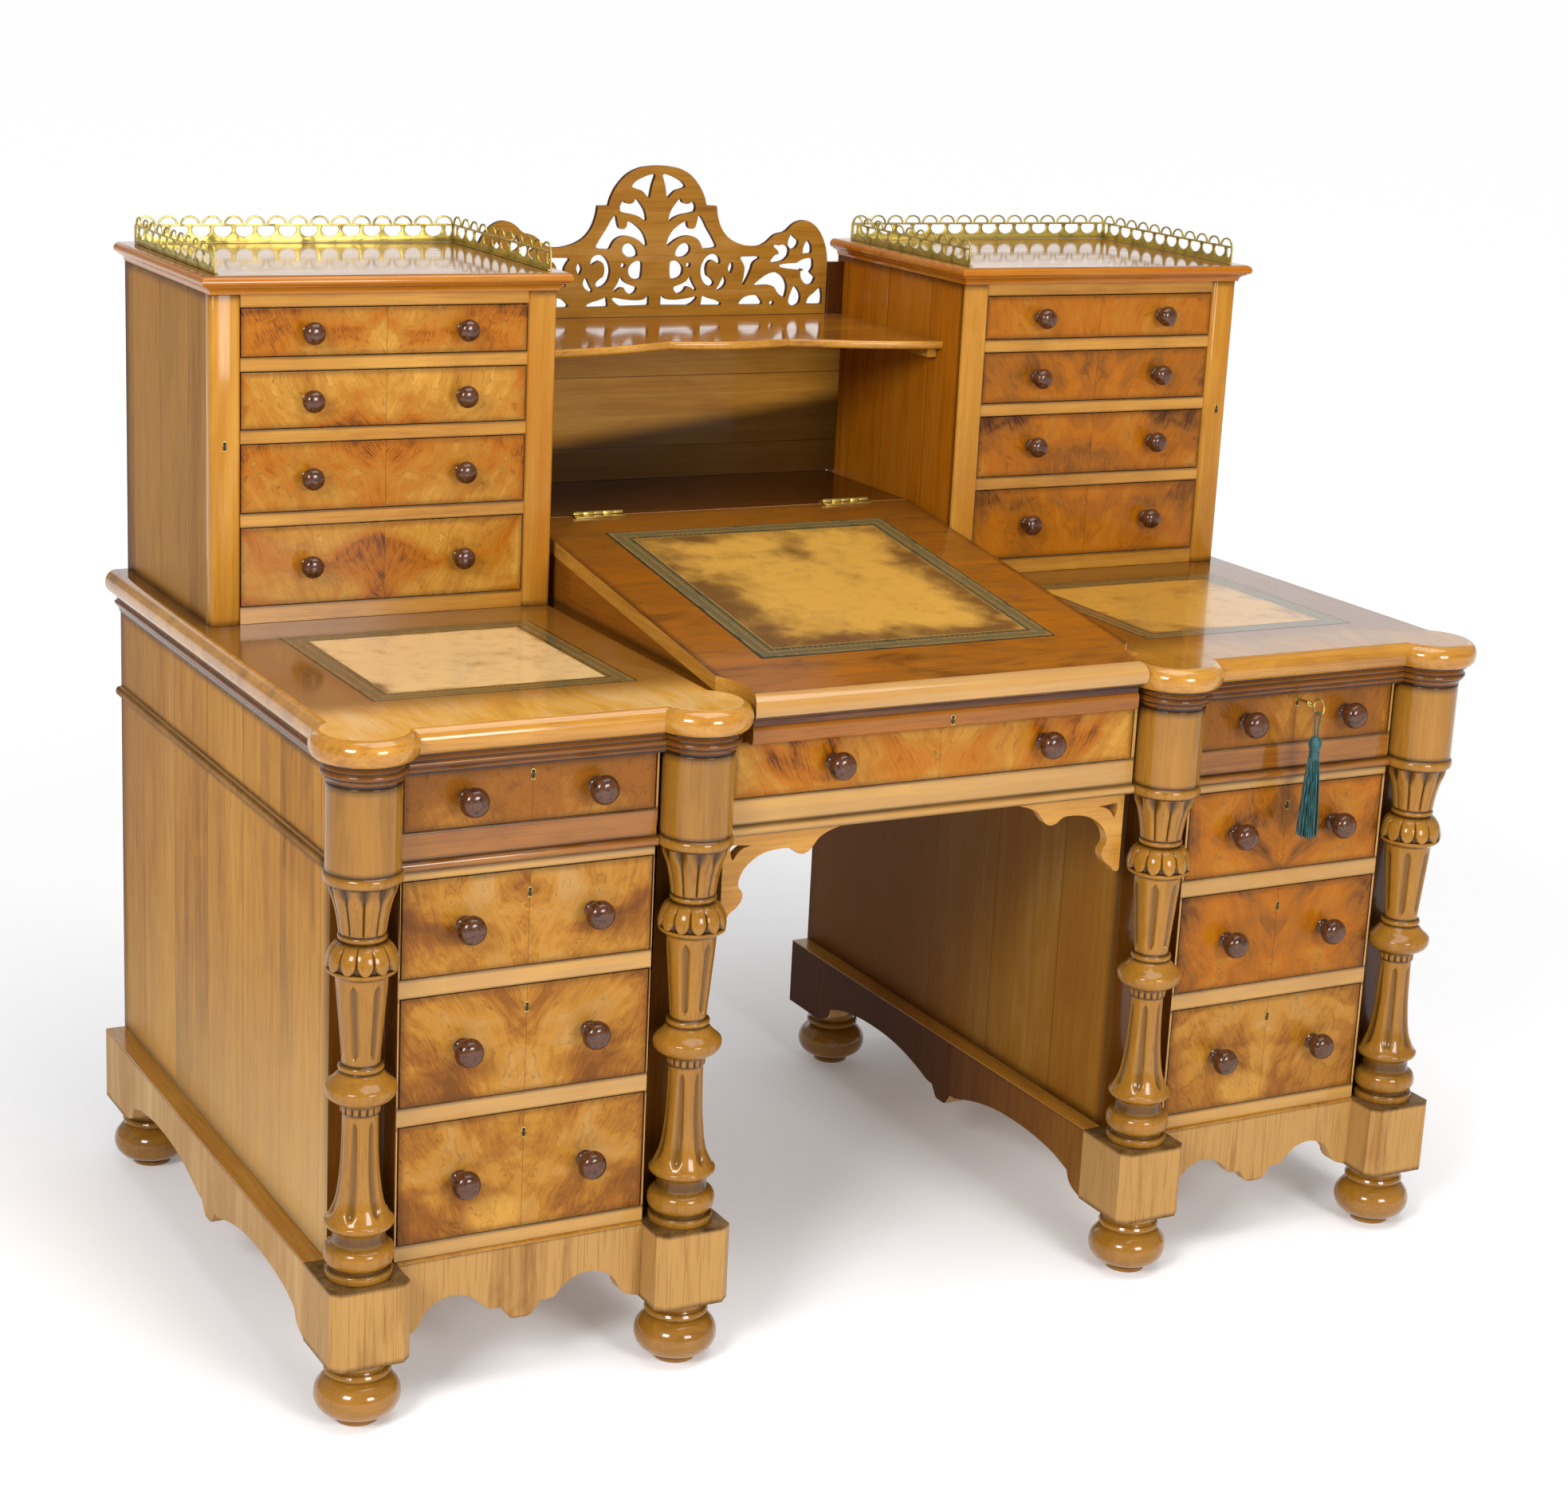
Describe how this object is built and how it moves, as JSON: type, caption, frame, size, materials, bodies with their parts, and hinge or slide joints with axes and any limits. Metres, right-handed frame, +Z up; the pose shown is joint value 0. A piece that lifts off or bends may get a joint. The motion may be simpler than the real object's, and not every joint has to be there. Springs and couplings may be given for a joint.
{
  "type": "pedestal desk",
  "caption": "Walnut pedestal writing desk with turned corner columns, a hinged sloped leather lid between banks of small drawers, brass galleries and a fretwork crest.",
  "frame": {"origin": "on the floor, at the middle of the desk's width and depth", "axes": "+X along the desk's width to the sitter's right, +Y from the front to the back, +Z up"},
  "size_m": [1.507, 0.8617, 1.2741],
  "materials": {
    "walnut": "polished honey walnut",
    "burr_walnut": "polished burr walnut veneer",
    "dark_walnut": "polished dark walnut",
    "tooled_leather": "worn tan leather with dark tooled border",
    "gallery_brass": "lacquered brass",
    "hinge_brass": "worn brass",
    "key_brass": "handled brass",
    "teal_silk": "silk cord and fringe"
  },
  "bodies": {
    "carcass": {"foot_left_inner_front": "walnut", "foot_left_inner_back": "walnut", "foot_left_outer_front": "walnut", "foot_left_outer_back": "walnut", "foot_right_inner_front": "walnut", "foot_right_inner_back": "walnut", "foot_right_outer_front": "walnut", "foot_right_outer_back": "walnut", "left_plinth": "walnut", "right_plinth": "walnut", "column_left_inner": "walnut", "column_left_outer": "walnut", "column_right_inner": "walnut", "column_right_outer": "walnut", "left_pedestal_carcass": "walnut", "right_pedestal_carcass": "walnut", "left_flat_top": "walnut", "right_flat_top": "walnut", "left_top_leather": "tooled_leather", "right_top_leather": "tooled_leather", "left_kneehole_bracket": "walnut", "right_kneehole_bracket": "walnut", "left_hinge_fixed_leaf": "hinge_brass", "right_hinge_fixed_leaf": "hinge_brass", "left_bank_carcass": "walnut", "right_bank_carcass": "walnut", "left_bank_top": "walnut", "right_bank_top": "walnut", "left_gallery": "gallery_brass", "right_gallery": "gallery_brass", "centre_carcass": "walnut", "back_panel": "dark_walnut", "centre_shelf": "walnut", "fretwork_crest": "dark_walnut"},
    "writing_lid": {"writing_lid": "walnut", "lid_leather": "tooled_leather", "left_hinge_lid_leaf": "hinge_brass", "right_hinge_lid_leaf": "hinge_brass"},
    "left_locking_stile": {"left_locking_stile": "walnut"},
    "right_locking_stile": {"right_locking_stile": "walnut"},
    "left_pedestal_drawer_3": {"left_pedestal_drawer_3": "burr_walnut"},
    "left_pedestal_drawer_2": {"left_pedestal_drawer_2": "burr_walnut"},
    "left_pedestal_drawer_1": {"left_pedestal_drawer_1": "burr_walnut"},
    "left_frieze_drawer": {"left_frieze_drawer": "burr_walnut"},
    "right_pedestal_drawer_3": {"right_pedestal_drawer_3": "burr_walnut"},
    "right_pedestal_drawer_2": {"right_pedestal_drawer_2": "burr_walnut"},
    "right_pedestal_drawer_1": {"right_pedestal_drawer_1": "burr_walnut"},
    "right_frieze_drawer": {"right_frieze_drawer": "burr_walnut"},
    "centre_frieze_drawer": {"centre_frieze_drawer": "burr_walnut"},
    "left_bank_drawer_1": {"left_bank_drawer_1": "burr_walnut"},
    "left_bank_drawer_2": {"left_bank_drawer_2": "burr_walnut"},
    "left_bank_drawer_3": {"left_bank_drawer_3": "burr_walnut"},
    "left_bank_drawer_4": {"left_bank_drawer_4": "burr_walnut"},
    "right_bank_drawer_1": {"right_bank_drawer_1": "burr_walnut"},
    "right_bank_drawer_2": {"right_bank_drawer_2": "burr_walnut"},
    "right_bank_drawer_3": {"right_bank_drawer_3": "burr_walnut"},
    "right_bank_drawer_4": {"right_bank_drawer_4": "burr_walnut"},
    "drawer_key": {"drawer_key": "key_brass"},
    "tassel": {"tassel_cord": "teal_silk", "key_tassel": "teal_silk"}
  },
  "joints": [
    {"name": "lid_hinge", "type": "hinge", "parent": "carcass", "child": "writing_lid", "pos_m": [0, 0.193, 0.8649], "axis": [-1, 0, 0], "range_deg": [0, 78]},
    {"name": "left_stile_hinge", "type": "hinge", "parent": "carcass", "child": "left_locking_stile", "pos_m": [-0.7064, 0.115, 0.965], "axis": [0, 0, -1], "range_deg": [0, 110]},
    {"name": "right_stile_hinge", "type": "hinge", "parent": "carcass", "child": "right_locking_stile", "pos_m": [0.7064, 0.115, 0.965], "axis": [0, 0, 1], "range_deg": [0, 110]},
    {"name": "left_pedestal_drawer_3_slide", "type": "slide", "parent": "carcass", "child": "left_pedestal_drawer_3", "axis": [0, -1, 0], "range_m": [0, 0.45]},
    {"name": "left_pedestal_drawer_2_slide", "type": "slide", "parent": "carcass", "child": "left_pedestal_drawer_2", "axis": [0, -1, 0], "range_m": [0, 0.45]},
    {"name": "left_pedestal_drawer_1_slide", "type": "slide", "parent": "carcass", "child": "left_pedestal_drawer_1", "axis": [0, -1, 0], "range_m": [0, 0.45]},
    {"name": "left_frieze_drawer_slide", "type": "slide", "parent": "carcass", "child": "left_frieze_drawer", "axis": [0, -1, 0], "range_m": [0, 0.45]},
    {"name": "right_pedestal_drawer_3_slide", "type": "slide", "parent": "carcass", "child": "right_pedestal_drawer_3", "axis": [0, -1, 0], "range_m": [0, 0.45]},
    {"name": "right_pedestal_drawer_2_slide", "type": "slide", "parent": "carcass", "child": "right_pedestal_drawer_2", "axis": [0, -1, 0], "range_m": [0, 0.45]},
    {"name": "right_pedestal_drawer_1_slide", "type": "slide", "parent": "carcass", "child": "right_pedestal_drawer_1", "axis": [0, -1, 0], "range_m": [0, 0.45], "deforming": ["key_tassel", "tassel_cord"]},
    {"name": "right_frieze_drawer_slide", "type": "slide", "parent": "carcass", "child": "right_frieze_drawer", "axis": [0, -1, 0], "range_m": [0, 0.45]},
    {"name": "centre_frieze_drawer_slide", "type": "slide", "parent": "carcass", "child": "centre_frieze_drawer", "axis": [0, -1, 0], "range_m": [0, 0.33]},
    {"name": "left_bank_drawer_1_slide", "type": "slide", "parent": "carcass", "child": "left_bank_drawer_1", "axis": [0, -1, 0], "range_m": [0, 0.2]},
    {"name": "left_bank_drawer_2_slide", "type": "slide", "parent": "carcass", "child": "left_bank_drawer_2", "axis": [0, -1, 0], "range_m": [0, 0.2]},
    {"name": "left_bank_drawer_3_slide", "type": "slide", "parent": "carcass", "child": "left_bank_drawer_3", "axis": [0, -1, 0], "range_m": [0, 0.2]},
    {"name": "left_bank_drawer_4_slide", "type": "slide", "parent": "carcass", "child": "left_bank_drawer_4", "axis": [0, -1, 0], "range_m": [0, 0.2]},
    {"name": "right_bank_drawer_1_slide", "type": "slide", "parent": "carcass", "child": "right_bank_drawer_1", "axis": [0, -1, 0], "range_m": [0, 0.2]},
    {"name": "right_bank_drawer_2_slide", "type": "slide", "parent": "carcass", "child": "right_bank_drawer_2", "axis": [0, -1, 0], "range_m": [0, 0.2]},
    {"name": "right_bank_drawer_3_slide", "type": "slide", "parent": "carcass", "child": "right_bank_drawer_3", "axis": [0, -1, 0], "range_m": [0, 0.2]},
    {"name": "right_bank_drawer_4_slide", "type": "slide", "parent": "carcass", "child": "right_bank_drawer_4", "axis": [0, -1, 0], "range_m": [0, 0.2]},
    {"name": "key_turn", "type": "hinge", "parent": "right_frieze_drawer", "child": "drawer_key", "pos_m": [0.50375, -0.365, 0.71], "axis": [0, -1, 0], "range_deg": [0, 90], "deforming": ["tassel_cord"]},
    {"name": "tassel_swing", "type": "hinge", "parent": "right_frieze_drawer", "child": "tassel", "pos_m": [0.50375, -0.407, 0.71], "axis": [-1, 0, 0], "range_deg": [-8, 60]}
  ]
}
